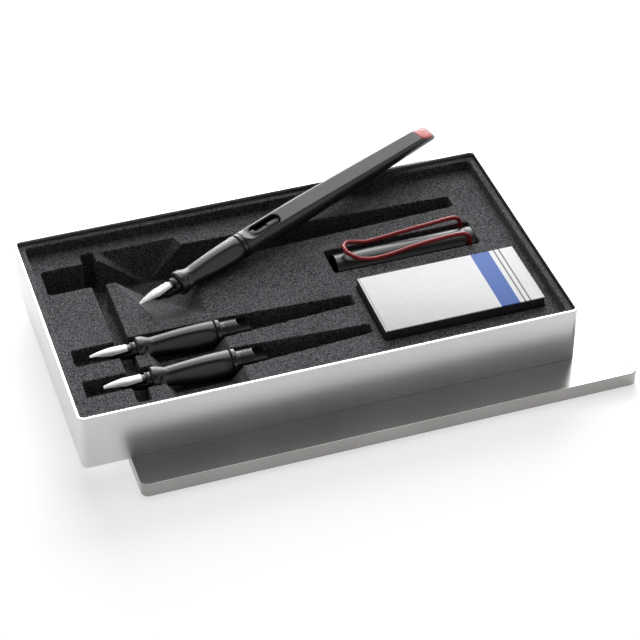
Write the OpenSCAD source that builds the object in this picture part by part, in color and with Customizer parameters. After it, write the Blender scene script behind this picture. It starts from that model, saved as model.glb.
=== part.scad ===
// Calligraphy set in a two-part tin.
// The lid lies on the table with its top up, and the open box stands on it, turned to neither side
// but shifted. A flocked tray in the box holds two spare nib sections, a cap and a carton of ink
// cartridges, and the pen leans over the back rim with its grip on the tray.
// Plan sizes in the box are measured from its front left corner, heights from its underside.

/* [Tin] */
// Outside width of the box, left to right
box_w = 230; // [224:1:250]
// Outside depth of the box, front to back
box_d = 129.5; // [127:0.5:145]
// Height of the box
box_h = 28.5; // [27.5:0.5:36]
// Thickness of the tinplate
tin_t = 0.5; // [0.3:0.05:0.7]
// Radius of the upright corners
corner_r = 3; // [2:0.5:6]
// Radius of the pressed edge round the bottom of the box
base_edge_r = 1.4; // [0.8:0.1:1.8]
// Width of the rolled hem at the rim
hem_w = 1.1; // [0.8:0.1:1.3]
// Height of the rolled hem
hem_h = 1.5; // [1:0.1:2.2]
// Height of the lid
lid_h = 7.1; // [6:0.1:12]
// Play between the lid and the box on each side
lid_fit = 0.5; // [0.4:0.1:1]
// Radius of the edge round the top of the lid
lid_edge_r = 0.9; // [0.5:0.1:1.5]
// How far the box is shifted to the left over the lid
shift_left = 21.3; // [15:0.1:30]
// How far the box is shifted back over the lid
shift_back = 18.2; // [15:0.1:30]

/* [Tray] */
// Height of the tray's field above the underside of the box
field_z = 21; // [20.5:0.1:22]
// Height of the border strip above the field
strip_h = 5.3; // [4:0.1:5.5]
// Width of the border strip
strip_w = 3; // [2:0.1:3.5]
// Thickness of the formed tray
tray_t = 1; // [0.7:0.1:1.3]
// Depth of the slot for the pen
pen_slot_depth = 18.5; // [14:0.1:18.6]
// Width of the pen slot at the nib end
pen_slot_w = 17.4; // [15:0.1:18]
// Width of the pen slot at the tail end
pen_tail_w = 8; // [6:0.1:10]
// Middle line of the pen slot
pen_slot_y = 103.6; // [103:0.1:104.2]
// Left end of the pen slot
pen_slot_x = 8.3; // [7:0.1:10]
// Room between the pen slot's right end and the right side of the box
pen_slot_right = 21.9; // [18:0.1:40]
// Width of the finger trough that crosses the slots
trough_w = 6.5; // [5:0.1:8]
// Left side of the finger trough
trough_x = 28.5; // [27.5:0.1:29]
// Middle line of the rear spare section
section_a_y = 47.9; // [47.5:0.1:48.5]
// Middle line of the front spare section
section_b_y = 26.3; // [26:0.1:27.2]
// Place of the rear section's nib tip
section_a_x = 16; // [14.5:0.1:16.8]
// Place of the front section's nib tip
section_b_x = 17; // [15.5:0.1:17.8]
// Depth of the finger trough below the field
trough_depth = 7.7; // [7:0.1:8.5]
// How far the axis of a spare section lies below the field
section_sunk = 2.5; // [2:0.1:3]
// Land between the rear section's slot and the carton
slot_a_land = 4.7; // [3:0.1:12]
// Land between the front section's slot and the carton
slot_b_land = 3.4; // [3:0.1:12]
// Width of the rear section's slot at its right end
slot_a_end_w = 6.8; // [5:0.1:8]
// Width of the front section's slot at its right end
slot_b_end_w = 6; // [5:0.1:8]
// Width of the pocket for the rear spare nib
nib_pocket_a_w = 11.2; // [10:0.1:12]
// Width of the pocket for the front spare nib
nib_pocket_b_w = 10.6; // [10:0.1:12]
// Room between the rear spare nib's tip and the end of its pocket
nib_room_a = 7.5; // [4:0.1:8]
// Room between the front spare nib's tip and the end of its pocket
nib_room_b = 8.6; // [4:0.1:9]
// Front end of the finger trough
trough_front = 11; // [8:0.1:12]
// Back end of the finger trough
trough_back = 119.6; // [118:0.1:122]

/* [Nib sections] */
// Visible length of a nib
nib_l = 17; // [15.5:0.1:19]
// Thickness of the nib metal
nib_t = 0.35; // [0.25:0.05:0.5]
// Radius of the nib's curved sheet
nib_r = 3.6; // [3.3:0.1:3.7]
// Greatest width of the nib's sheet
nib_w = 5.8; // [5:0.1:6]
// Width of the nib's sheet at its base
nib_base_w = 4.9; // [4.6:0.1:5.2]
// How far the nib bends down to its tip
nib_drop = 1.7; // [1:0.1:2]
// Width of the pen's nib tip
tip_w_pen = 1.8; // [1:0.1:2.4]
// Width of the rear spare nib's tip
tip_w_a = 1.5; // [0.9:0.1:2.4]
// Width of the front spare nib's tip
tip_w_b = 2.2; // [1:0.1:2.4]
// Length of the neck between nib and grip
neck_l = 4; // [3.6:0.1:4.6]
// Gap between the nib's end and the neck's first fin
fin_gap = 1.7; // [1.3:0.1:2]
// Length of the grip
grip_l = 36.6; // [34:0.1:38]
// Largest radius of the grip
grip_r = 6.2; // [6.1:0.05:6.25]
// Radius of the lip at the front of the grip
lip_r = 5.9; // [5.6:0.05:6]
// Smallest radius of the grip, behind the lip
waist_r = 4.6; // [4.5:0.05:4.8]
// Distance of the finger flats from the axis at their front end
flat_front = 4.2; // [4.1:0.05:4.4]
// Distance of the finger flats from the axis at their back end
flat_back = 5.6; // [5.3:0.05:5.7]
// Width of the trim ring
ring_w = 2.3; // [2:0.1:3]
// Length of the smooth collar behind the ring
collar_l = 2.1; // [1.8:0.1:3]
// Pitch of the barrel thread
pitch = 1.05; // [0.8:0.05:1.1]
// Turns of thread
turns = 5; // [3:1:5]
// Outside radius of the thread
thread_r = 4.85; // [4.75:0.05:4.9]
// Length of the fork prongs behind the thread
prong_l = 6.1; // [5:0.1:6.5]
// Width of the fork
fork_w = 5.6; // [5:0.1:6]

/* [Pen] */
// Length of the pen without its cap
pen_l = 181.5; // [176:0.5:184]
// Radius of the barrel at the ring
barrel_r = 6.3; // [6.2:0.05:6.4]
// Radius of the barrel at the tail
tail_r = 4.3; // [4.1:0.1:4.6]
// Where the barrel starts to taper, from the nib tip
taper_x = 95; // [90:1:105]
// Distance of the barrel's two flats from its axis
barrel_flat = 5.2; // [5.1:0.05:5.4]
// Distance of the flats from the axis at the tail
tail_flat = 3; // [2.9:0.1:3.3]
// Length of the ink window
window_l = 17.4; // [12:0.1:20]
// Width of the ink window
window_w = 6; // [5:0.1:6.2]
// Distance of the ink window from the barrel's mouth
window_back = 5; // [3.5:0.1:6]
// Angle of the slanted tail face to the axis
tail_cut = 22; // [20:1:28]
// Length of a cartridge
cartridge_l = 72; // [68:0.5:73]
// Radius of a cartridge
cartridge_r = 3.7; // [3.5:0.05:3.75]
// Direction of the leaning pen in plan
pen_yaw = 23.2; // [21:0.1:25]
// Turn of the leaning pen's barrel about its own axis
barrel_roll = 12; // [5:1:16]
// Turn of the leaning pen's grip and nib about their own axis
grip_roll = -4; // [-8:1:8]
// Plan place of the nib tip, across
tip_x = 45.3; // [43:0.1:48]
// Plan place of the nib tip, front to back
tip_y = 70.1; // [69.5:0.1:73]

/* [Cap] */
// Length of the cap
cap_l = 69; // [65:0.1:70]
// Outside radius of the cap
cap_r = 7; // [6.9:0.05:7.2]
// Wall of the cap
cap_wall = 0.6; // [0.45:0.05:0.65]
// Middle line of the cap
cap_y = 77; // [76.5:0.1:77.5]
// Length of the cap's crown
crown_l = 3.9; // [3.5:0.1:4.5]
// Room between the cap's crown and the right side of the box
cap_right = 20.8; // [20:0.1:24]
// Depth of the cap's pocket below the field
cap_pocket_depth = 12; // [11:0.1:13]
// Room between the cap and its pocket at the front
cap_front_room = 1.15; // [1.1:0.05:1.4]
// Room between the cap and its pocket at the back
cap_back_room = 1.9; // [1.1:0.1:2.2]
// Room between the cap's mouth and its pocket
cap_mouth_room = 2.7; // [1.5:0.1:3.5]
// Room between the cap's crown and its pocket
cap_crown_room = 0.7; // [0.5:0.1:2]
// Length of the sleeve inside the cap
sleeve_l = 30; // [24:0.5:34]
// Radius of the clip wire
wire_r = 1.05; // [0.8:0.05:1.05]

/* [Carton] */
// Length of the cartridge carton
carton_l = 76.4; // [75:0.1:78]
// Depth of the carton, front to back
carton_d = 39.4; // [39:0.1:41]
// Height of the closed carton
carton_h = 10.2; // [9.4:0.1:11]
// How far the carton stands above the field
carton_proud = 4.7; // [4:0.1:5]
// Thickness of the board
board_t = 0.5; // [0.4:0.05:0.6]
// Room between the carton and the right side of the box
carton_right = 9.7; // [8.5:0.1:12]
// Front of the carton
carton_y = 16.5; // [14:0.1:17]
// Cartridges in the carton
cartridge_n = 5; // [1:1:5]

/* [Hidden] */
$fn = 48;
// gap under a flat piece that rests on another
rest_gap = 0.1;
// gap under a round piece that rests on another
curved_gap = 0.3;
// gap round the carton in its pocket
pocket_gap = 0.6;
// running fit of the ring and of the barrel on the spigot
run_gap = 0.05;
// gap between pieces that are pushed together
seat_gap = 0.02;
// overshoot of a cutting body
over = 1;

// lid and box
lid_w = box_w + 2 * (lid_fit + tin_t);
lid_d = box_d + 2 * (lid_fit + tin_t);
lid_hem_w = tin_t + lid_fit - 0.2;
lid_hem_h = 1;

// tray
strip_z = field_z + strip_h;
tray_gap = 0.15;
tray_in = hem_w + tray_gap;
field_in = tray_in + strip_w;
slot_z = field_z - pen_slot_depth;
trough_z = field_z - trough_depth;
pocket_r = 1.2;
grip_half = grip_r + 0.4;

// section lengths from the nib tip
grip_x = nib_l + neck_l;
ring_x = grip_x + grip_l;
ring_r = grip_r + 0.1;
ring_end = ring_x + ring_w;
thread_x = ring_end + collar_l;
prong_x = thread_x + turns * pitch;
section_l = prong_x + prong_l;
spigot_r = thread_r - 0.2;
neck_r = 3.9;
feed_r = 2.85;
bore_r = 3.95;
bore_x = ring_x - 8;
nipple_r = 1.1;
nipple_l = 6;
// the grip narrows behind its lip to a waist and then swells
lip_l = 2;
waist_l = 8;
swell_l = 24;
function ease(t) = (1 - cos(180 * max(0, min(1, t)))) / 2;
function grip_radius(x) = let (u = x - grip_x)
  u < waist_l ? lip_r - (lip_r - waist_r) * ease((u - lip_l) / (waist_l - lip_l))
  : waist_r + (grip_r - waist_r) * sin(90 * min(1, (u - waist_l) / swell_l));
// the nib's sheet bends down towards its tip
bend_x = 10;
function nib_radius(x) = nib_r - nib_drop * pow(max(0, bend_x - x) / bend_x, 1.5);

// a spare section lies on its slot's floor with its trim ring
section_z = field_z - section_sunk;
section_floor_z = section_z - ring_r - curved_gap;

// pen
barrel_x = ring_end + seat_gap;
cartridge_x = bore_x + 1.5;
cartridge_neck_r = bore_r - 0.8;
cartridge_travel = 8;
barrel_thread_r = thread_r + run_gap;
barrel_thread_end = section_l + 1;
barrel_bore_r = cartridge_r + 0.3;
barrel_bore_end = cartridge_x + cartridge_l + cartridge_travel + 1.5;
// share of the taper passed at a distance from the nib tip
function taper(x) = max(0, x - taper_x) / (pen_l - taper_x);
function barrel_radius(x) = barrel_r - (barrel_r - tail_r) * pow(taper(x), 1.1);
// the slanted tail face meets the tail a little below the axis
tail_edge = 0.6;
tail_round = 2.2;
tail_face_x = pen_l - 0.6;
plug_l = 8.8;
plug_w = 5;
plug_depth = 1.2;

// finger hollows begin behind the trough and end just behind the grips' trim rings
ring_room = 0.6;
hollow_x = trough_x + trough_w + 6;
hollow_end = section_a_x + ring_end + ring_room;
// the pen rests on the field's edge and on the back rim, which the barrel clears as it unscrews
field_rest = (hollow_end - tip_x) / cos(pen_yaw) - 1;
rim_rest = (box_d - tip_y) / sin(pen_yaw);
rim_near = 10;
field_axis_z = field_z + grip_radius(field_rest) + curved_gap;
rim_axis_z = box_h + barrel_radius(rim_rest - rim_near - turns * pitch) + curved_gap;
pen_rise = atan((rim_axis_z - field_axis_z) / (rim_rest - field_rest));
tip_z = field_axis_z - field_rest * tan(pen_rise);

// cap
cap_floor_z = field_z - cap_pocket_depth;
cap_z = cap_floor_z + cap_r + curved_gap;
cap_bore_r = cap_r - cap_wall;
cap_x = box_w - cap_right - cap_l;
sleeve_r = cap_bore_r - seat_gap;
sleeve_wall = 0.75;
sleeve_end_l = 5;
sleeve_end_wall = 1.6;
sleeve_web = 0.8;
// the clip's ends come down into holes in the cap's sides, half in the tube and half in the crown
clip_hole_x = cap_l - crown_l;
clip_hole_low = -1.4;
clip_hole_top = 4.3;
clip_hole_half = wire_r + 0.6;
clip_hole_depth = 4;

// carton
carton_x = box_w - carton_right - carton_l;
carton_z = field_z + carton_proud - carton_h;
slot_a_end = carton_x - slot_a_land;
slot_b_end = carton_x - slot_b_land;

// frame: the middle of everything at rest, on the table
tail_out = pen_l * cos(pen_rise) * sin(pen_yaw) + 2.6;
total_w = shift_left + lid_w;
total_d = shift_back + tip_y + tail_out;
lid_x = shift_left - total_w / 2;
lid_y = -total_d / 2;
box_x = -total_w / 2;
box_y = lid_y + shift_back;
box_z = lid_h + 0.05;

module at_box() {
  translate([box_x, box_y, box_z]) children();
}

module at_section_a() {
  at_box() translate([section_a_x, section_a_y, section_z]) children();
}

module at_section_b() {
  at_box() translate([section_b_x, section_b_y, section_z]) children();
}

module at_pen(roll) {
  at_box()
    translate([tip_x, tip_y, tip_z])
      rotate([0, 0, pen_yaw])
        rotate([0, -pen_rise, 0])
          rotate([roll, 0, 0])
            children();
}

module at_cap() {
  at_box() translate([cap_x, cap_y, cap_z]) children();
}

module at_carton() {
  at_box() translate([carton_x, carton_y, carton_z]) children();
}

// a body of revolution about the x axis from points of distance and radius
module turned(points) {
  rotate([90, 0, 90]) rotate_extrude() polygon([for (p = points) [p[1], p[0]]]);
}

// a block with round upright corners, from its low corner
module round_block(w, d, h, r) {
  translate([r, 0, 0]) cube([w - 2 * r, d, h]);
  translate([0, r, 0]) cube([w, d - 2 * r, h]);
  for (x = [r, w - r], y = [r, d - r])
    translate([x, y, 0]) cylinder(r = r, h = h);
}

// a round block whose bottom edge is rounded as well
module pan_block(w, d, h, r, edge) {
  translate([0, 0, edge]) round_block(w, d, h - edge, r);
  translate([edge, edge, 0]) round_block(w - 2 * edge, d - 2 * edge, edge + 0.01, r - edge);
  for (y = [edge, d - edge])
    translate([r, y, edge]) rotate([0, 90, 0]) cylinder(r = edge, h = w - 2 * r);
  for (x = [edge, w - edge])
    translate([x, r, edge]) rotate([-90, 0, 0]) cylinder(r = edge, h = d - 2 * r);
  for (x = [r, w - r], y = [r, d - r])
    translate([x, y, edge]) rotate_extrude() intersection() {
      union() {
        translate([r - edge, 0]) circle(edge);
        translate([0, -edge]) square([r - edge, 2 * edge]);
      }
      translate([0, -edge]) square([r, edge]);
    }
}

module lid_shell() color("silver") {
  translate([lid_x, lid_y, lid_h]) mirror([0, 0, 1]) difference() {
    translate([0, lid_d, 0]) mirror([0, 1, 0]) pan_block(lid_w, lid_d, lid_h, corner_r + 0.5, lid_edge_r);
    translate([tin_t, tin_t, tin_t])
      round_block(lid_w - 2 * tin_t, lid_d - 2 * tin_t, lid_h - tin_t - lid_hem_h, corner_r);
    translate([lid_hem_w, lid_hem_w, lid_h - lid_hem_h - over])
      round_block(lid_w - 2 * lid_hem_w, lid_d - 2 * lid_hem_w, lid_hem_h + 2 * over, corner_r - 0.3);
  }
}

module box_shell() color("silver") at_box() difference() {
  pan_block(box_w, box_d, box_h, corner_r, base_edge_r);
  translate([tin_t, tin_t, tin_t])
    round_block(box_w - 2 * tin_t, box_d - 2 * tin_t, box_h - tin_t - hem_h, corner_r - tin_t);
  translate([hem_w, hem_w, box_h - hem_h - over])
    round_block(box_w - 2 * hem_w, box_d - 2 * hem_w, hem_h + 2 * over, corner_r - hem_w);
}

// a pocket in the tray from its floor to above the strip, made bigger all round by grow
module pocket(x0, y0, x1, y1, floor_z, r, grow) {
  translate([x0 - grow, y0 - grow, floor_z - grow])
    round_block(x1 - x0 + 2 * grow, y1 - y0 + 2 * grow, strip_z - floor_z + grow + over, r + grow);
}

// a slot whose width goes from half_a to half_b between bend_x and its right end
module tapered_slot(x0, bend_x, x1, y, half_a, half_b, floor_z, grow) {
  translate([0, 0, floor_z - grow]) linear_extrude(strip_z - floor_z + grow + over) polygon([
    [x0 - grow, y - half_a - grow],
    [bend_x, y - half_a - grow],
    [x1 + grow, y - half_b - grow],
    [x1 + grow, y + half_b + grow],
    [bend_x, y + half_a + grow],
    [x0 - grow, y + half_a + grow],
  ]);
}

// a hollow with slanted sides between an outline at the field and one at its floor
module scoop(top, bottom, floor_z, grow) {
  cx = (bottom[0][0] + bottom[2][0]) / 2;
  cy = (bottom[0][1] + bottom[2][1]) / 2;
  function out(p) = [p[0] + grow * sign(p[0] - cx), p[1] + grow * sign(p[1] - cy)];
  polyhedron(
    points = concat(
      [for (p = bottom) [out(p)[0], out(p)[1], floor_z - grow]],
      [for (p = top) [out(p)[0], out(p)[1], field_z + 0.02]]
    ),
    faces = [[0, 1, 2, 3], [7, 6, 5, 4], [0, 4, 5, 1], [1, 5, 6, 2], [2, 6, 7, 3], [3, 7, 4, 0]]
  );
}

// outline of a scoop: front and back edges with their ends
function quad(x0, x1, y0, back_x0, back_x1, y1) = [[x0, y0], [x1, y0], [back_x1, y1], [back_x0, y1]];

// slot of a spare section: a pocket for the nib, then a slot that narrows behind the trim ring
module section_slot(nib_tip, y, nib_room, room_w, end_x, end_w, grow) {
  pocket(nib_tip - nib_room, y - room_w / 2, trough_x + trough_w / 2, y + room_w / 2, trough_z, pocket_r, grow);
  tapered_slot(trough_x + trough_w / 2, nib_tip + ring_end + ring_room, end_x, y, grip_half, end_w / 2,
    section_floor_z, grow);
}

// slot of the pen: a pocket for the nib, then a slot that narrows to the tail
module pen_slot(grow) {
  half = pen_slot_w / 2;
  pocket(pen_slot_x, pen_slot_y - half, trough_x + trough_w / 2, pen_slot_y + half, slot_z, pocket_r, grow);
  tapered_slot(trough_x, hollow_end, box_w - pen_slot_right, pen_slot_y, half, pen_tail_w / 2, slot_z, grow);
}

// hollow beside a spare grip, between two y values, with ends that lean in to its floor
module grip_hollow(x0, x1, front, floor_front, back, grow) {
  lean = 5;
  scoop(quad(x0, x1, front, x0, x1, back),
    quad(x0 + lean, x1 - lean - 1, floor_front, x0 + lean, x1 - lean - 1, back), trough_z + 1, grow);
}

// notches behind and in front of the pen's grip, each narrowing to a point at the slot
module pen_hollows(grow) {
  trough_end = trough_x + trough_w;
  front = pen_slot_y - pen_slot_w / 2;
  back = pen_slot_y + pen_slot_w / 2;
  point_x = (hollow_x + hollow_end) / 2;
  point = 1;
  notch_back = back + 6.2;
  notch_front = front - 35.9;
  scoop(quad(trough_end + 0.8, hollow_end, back - point, trough_end + 2.8, hollow_end - 2.6, notch_back),
    quad(point_x - point, point_x + point, back - point, point_x - point, point_x + point, back),
    slot_z, grow);
  scoop(quad(point_x - 6.8, hollow_end - 3, notch_front, trough_end + 4, hollow_end - 0.5, front + point),
    quad(point_x - point, point_x + point, front, point_x - point, point_x + point, front + point),
    slot_z + 2, grow);
}

// everything that the tray's sheet is pressed down by
module tray_hollows(grow) {
  pocket(field_in, field_in, box_w - field_in, box_d - field_in, field_z, 2, grow);
  pocket(trough_x, trough_front, trough_x + trough_w, trough_back, trough_z, pocket_r, grow);
  pen_slot(grow);
  pen_hollows(grow);
  section_slot(section_a_x, section_a_y, nib_room_a, nib_pocket_a_w, slot_a_end, slot_a_end_w, grow);
  section_slot(section_b_x, section_b_y, nib_room_b, nib_pocket_b_w, slot_b_end, slot_b_end_w, grow);
  grip_hollow(hollow_x, hollow_end, section_b_y + 5, section_b_y + 5, section_a_y - 5, grow);
  grip_hollow(hollow_x + 2, hollow_end + 2, section_b_y - 18.8, section_b_y - 15.3, section_b_y - 5, grow);
  pocket(cap_x - cap_mouth_room, cap_y - cap_r - cap_front_room,
    cap_x + cap_l + cap_crown_room, cap_y + cap_r + cap_back_room, cap_floor_z, 1, grow);
  pocket(carton_x - pocket_gap, carton_y - pocket_gap, carton_x + carton_l + pocket_gap,
    carton_y + carton_d + pocket_gap, carton_z - rest_gap, 1, grow);
}

module tray_block(inset) {
  gap = tray_in + inset;
  translate([gap, gap, tin_t])
    round_block(box_w - 2 * gap, box_d - 2 * gap, strip_z - tin_t - inset, 1.8 - inset);
}

module tray_insert() color("#4a4a4a") at_box() difference() {
  tray_block(0);
  tray_hollows(0);
  // the hollow underside keeps one sheet thickness all over
  difference() {
    translate([0, 0, -over]) tray_block(tray_t);
    tray_hollows(tray_t);
  }
  translate([tray_in + tray_t, tray_in + tray_t, -over])
    cube([box_w - 2 * (tray_in + tray_t), box_d - 2 * (tray_in + tray_t), over + tin_t + 0.4]);
}

// body of revolution whose radius follows the nib's sheet, made smaller by inset, between two distances
module nib_core(x0, x1, inset) {
  steps = 6;
  turned(concat(
    [[x0, 0]],
    [for (i = [0:steps]) let (x = x0 + i * (bend_x - x0) / steps) [x, nib_radius(x) - inset]],
    [[x1, nib_r - inset], [x1, 0]]
  ));
}

// nib: a curved sheet cut to a tapered outline with a blunt tip
module nib(tip_w) {
  shoulder_x = 9.5;
  intersection() {
    difference() {
      nib_core(0, nib_l, 0);
      nib_core(-over, nib_l + over, nib_t);
    }
    linear_extrude(nib_r + 1) polygon([
      [0, -tip_w / 2],
      [1.2, -tip_w / 2 - 0.1],
      [shoulder_x * 0.6, -nib_w * 0.39],
      [shoulder_x, -nib_w / 2],
      [nib_l, -nib_base_w / 2],
      [nib_l, nib_base_w / 2],
      [shoulder_x, nib_w / 2],
      [shoulder_x * 0.6, nib_w * 0.39],
      [1.2, tip_w / 2 + 0.1],
      [0, tip_w / 2],
    ]);
  }
}

// feed: a wedge under the nib that widens to a shelf, a grooved neck, a shaft in the grip and a nipple
// for the cartridge
module feed() {
  front_x = 5;
  shelf_x = nib_l * 0.7;
  shelf_z = 1.2;
  neck_x = nib_l + fin_gap;
  intersection() {
    nib_core(front_x, neck_x + 0.1, nib_t + seat_gap);
    rotate([90, 0, 0]) linear_extrude(2 * nib_r, center = true)
      polygon([[front_x, 1.6], [nib_l * 0.6, -1], [neck_x + 0.1, -2.3], [neck_x + 0.1, nib_r],
        [front_x, nib_r]]);
    linear_extrude(4 * nib_r, center = true)
      polygon([[front_x, -0.9], [nib_l * 0.55, -1.9], [neck_x + 0.1, -2.3],
        [neck_x + 0.1, 2.3], [nib_l * 0.55, 1.9], [front_x, 0.9]]);
  }
  intersection() {
    turned([[shelf_x, 0], [shelf_x, nib_r - 1.2], [shelf_x + 1.8, nib_r], [neck_x + 0.1, nib_r], [neck_x + 0.1, 0]]);
    rotate([90, 0, 0]) linear_extrude(2 * nib_r, center = true)
      polygon([[shelf_x, shelf_z], [shelf_x, -1.2], [neck_x + 0.1, -2.6], [neck_x + 0.1, shelf_z]]);
  }
  turned([[neck_x, 0], [neck_x, neck_r + 0.15], [neck_x + 0.4, neck_r + 0.15], [neck_x + 0.4, neck_r - 0.8],
    [neck_x + 0.8, neck_r - 0.8], [neck_x + 0.8, neck_r - 0.1], [neck_x + 1, neck_r + 0.05],
    [grip_x - seat_gap, neck_r + 0.05], [grip_x - seat_gap, feed_r], [bore_x - 1, feed_r],
    [bore_x - 1, nipple_r], [bore_x + nipple_l, nipple_r], [bore_x + nipple_l, 0]]);
}

// grip with its finger flats, the threaded spigot and the two prongs
module grip() {
  lip_steps = 5;
  swell_steps = 8;
  swell_x = grip_x + waist_l;
  swell_end = ring_x - 0.8;
  flat_start = grip_x + 5.5;
  flat_end = ring_x - 1.6;
  flat_lean = atan((flat_back - flat_front) / (flat_end - flat_start));
  fork_x = prong_x + 0.6 + fork_w / 2;
  difference() {
    turned(concat(
      [[grip_x, feed_r + seat_gap], [grip_x, lip_r - 0.8], [grip_x + 0.35, lip_r - 0.2], [grip_x + 0.9, lip_r]],
      [for (i = [0:lip_steps]) let (x = grip_x + lip_l + i * (waist_l - lip_l) / lip_steps) [x, grip_radius(x)]],
      [for (i = [1:swell_steps]) let (x = swell_x + i * (swell_end - swell_x) / swell_steps) [x, grip_radius(x)]],
      [[ring_x, grip_r - 0.4], [ring_x, spigot_r], [thread_x, spigot_r]],
      [for (i = [0:turns - 1]) let (x = thread_x + i * pitch) each [
        [x + 0.35 * pitch, thread_r],
        [x + 0.65 * pitch, thread_r],
        [x + 0.95 * pitch, spigot_r]
      ]],
      [[section_l, spigot_r], [section_l, bore_r], [bore_x, bore_r], [bore_x, feed_r + seat_gap]]
    ));
    for (side = [-1, 1])
      rotate([side * 60, 0, 0]) translate([flat_start, -grip_r, flat_front]) rotate([0, -flat_lean, 0])
        cube([flat_end - flat_start, 2 * grip_r, grip_r]);
    // the fork between the prongs
    translate([fork_x, 0, -thread_r - over]) cylinder(d = fork_w, h = 2 * (thread_r + over));
    translate([fork_x, -fork_w / 2, -thread_r - over]) cube([prong_l, fork_w, 2 * (thread_r + over)]);
  }
}

module trim_ring() {
  bevel = 0.4;
  turned([[ring_x + seat_gap, spigot_r + run_gap], [ring_x + seat_gap, ring_r - bevel],
    [ring_x + bevel, ring_r], [ring_end - bevel, ring_r],
    [ring_end, ring_r - bevel], [ring_end, spigot_r + run_gap]]);
}

module cartridge(x0) {
  neck = 24;
  turned([[x0, nipple_r + run_gap], [x0, cartridge_neck_r - 0.3], [x0 + 0.3, cartridge_neck_r],
    [x0 + neck, cartridge_neck_r], [x0 + neck + 0.5, cartridge_r], [x0 + cartridge_l - 0.6, cartridge_r],
    [x0 + cartridge_l, cartridge_r - 0.6], [x0 + cartridge_l, 0], [x0 + nipple_l, 0],
    [x0 + nipple_l, nipple_r + run_gap]]);
}

// slab between the barrel's two flats, which come closer to the tail; its mouth stays round
module flats_slab() {
  mouth_end = barrel_x + 3;
  wide = barrel_r + over;
  rotate([90, 0, 0]) linear_extrude(2 * wide, center = true) polygon([
    [barrel_x - over, -wide], [mouth_end, -wide], [mouth_end + 1.5, -barrel_flat],
    [taper_x, -barrel_flat], [pen_l + over, -tail_flat],
    [pen_l + over, tail_flat], [taper_x, barrel_flat],
    [mouth_end + 1.5, barrel_flat], [mouth_end, wide], [barrel_x - over, wide],
  ]);
}

module pen_barrel() color("#454548") at_pen(barrel_roll) {
  steps = 8;
  round_steps = 3;
  tail_x = pen_l - tail_round;
  difference() {
    intersection() {
      turned(concat(
        [[barrel_x, barrel_thread_r], [barrel_x, barrel_r - 0.3], [barrel_x + 0.3, barrel_r]],
        [for (i = [0:steps]) let (x = taper_x + i * (tail_x - taper_x) / steps) [x, barrel_radius(x)]],
        [for (i = [1:round_steps]) let (a = 90 * i / round_steps)
          [tail_x + tail_round * sin(a), barrel_radius(tail_x) - tail_round * (1 - cos(a))]],
        [[pen_l, 0], [barrel_bore_end, 0], [barrel_bore_end, barrel_bore_r],
          [barrel_thread_end, barrel_bore_r], [barrel_thread_end, barrel_thread_r]]
      ));
      flats_slab();
    }
    at_tail_face() translate([-40, -barrel_r, 0]) cube([60, 2 * barrel_r, 2 * barrel_r]);
    at_tail_face() plug_shape(plug_depth + seat_gap, plug_w + 2 * seat_gap);
    // ink windows through both flats
    translate([barrel_x + window_back + window_w / 2, 0, -barrel_r - over])
      linear_extrude(2 * (barrel_r + over)) {
        circle(d = window_w);
        translate([window_l - window_w, 0]) circle(d = window_w);
        translate([0, -window_w / 2]) square([window_l - window_w, window_w]);
      }
  }
}

// the slanted face at the tail, with its low end near the tail's tip
module at_tail_face() {
  translate([tail_face_x, 0, -tail_edge]) rotate([0, tail_cut, 0]) children();
}

// oval body that goes down from the slanted face
module plug_shape(depth, width) {
  reach = plug_l - plug_w;
  translate([-plug_l - 0.8 + plug_w / 2, 0, -depth]) linear_extrude(depth + seat_gap) {
    circle(d = width);
    translate([reach, 0]) circle(d = width);
    translate([0, -width / 2]) square([reach, width]);
  }
}

module pen_end_plug() color("#c05a5a") at_pen(barrel_roll) at_tail_face() plug_shape(plug_depth, plug_w);

module pen_grip() color("#454548") at_pen(grip_roll) grip();
module pen_feed() color("#202022") at_pen(grip_roll) feed();
module pen_nib() color("gainsboro") at_pen(grip_roll) nib(tip_w_pen);
module pen_trim_ring() color("#5c5c60") at_pen(grip_roll) trim_ring();
module pen_cartridge() color("#2a4a9a") at_pen(grip_roll) cartridge(cartridge_x);

module section_a_grip() color("#454548") at_section_a() grip();
module section_a_feed() color("#202022") at_section_a() feed();
module section_a_nib() color("gainsboro") at_section_a() nib(tip_w_a);
module section_a_trim_ring() color("#5c5c60") at_section_a() trim_ring();

module section_b_grip() color("#454548") at_section_b() grip();
module section_b_feed() color("#202022") at_section_b() feed();
module section_b_nib() color("gainsboro") at_section_b() nib(tip_w_b);
module section_b_trim_ring() color("#5c5c60") at_section_b() trim_ring();

// holes for the ends of the clip
module clip_holes() {
  for (side = [-1, 1])
    translate([clip_hole_x - clip_hole_half, side * cap_r - clip_hole_depth / 2, clip_hole_low])
      cube([2 * clip_hole_half, clip_hole_depth, clip_hole_top - clip_hole_low]);
}

module cap_tube() color("#4a4a4c") at_cap() difference() {
  turned([[0, cap_bore_r], [0, cap_r - 0.3], [0.3, cap_r], [cap_l - crown_l, cap_r],
    [cap_l - crown_l, cap_bore_r]]);
  clip_holes();
}

module cap_crown() color("#3a3a3c") at_cap() {
  crown_x = cap_l - crown_l + seat_gap;
  edge = 1;
  difference() {
    turned([[crown_x, 0], [crown_x, cap_r], [cap_l - edge, cap_r],
      for (a = [30, 60, 90]) [cap_l - edge + edge * sin(a), cap_r - edge + edge * cos(a)], [cap_l, 0]]);
    clip_holes();
    // cross slot in the end
    for (turn = [0, 90])
      rotate([turn, 0, 0]) translate([cap_l - 0.6, -4.2, -0.5]) cube([1.2, 8.4, 1]);
  }
}

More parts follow.
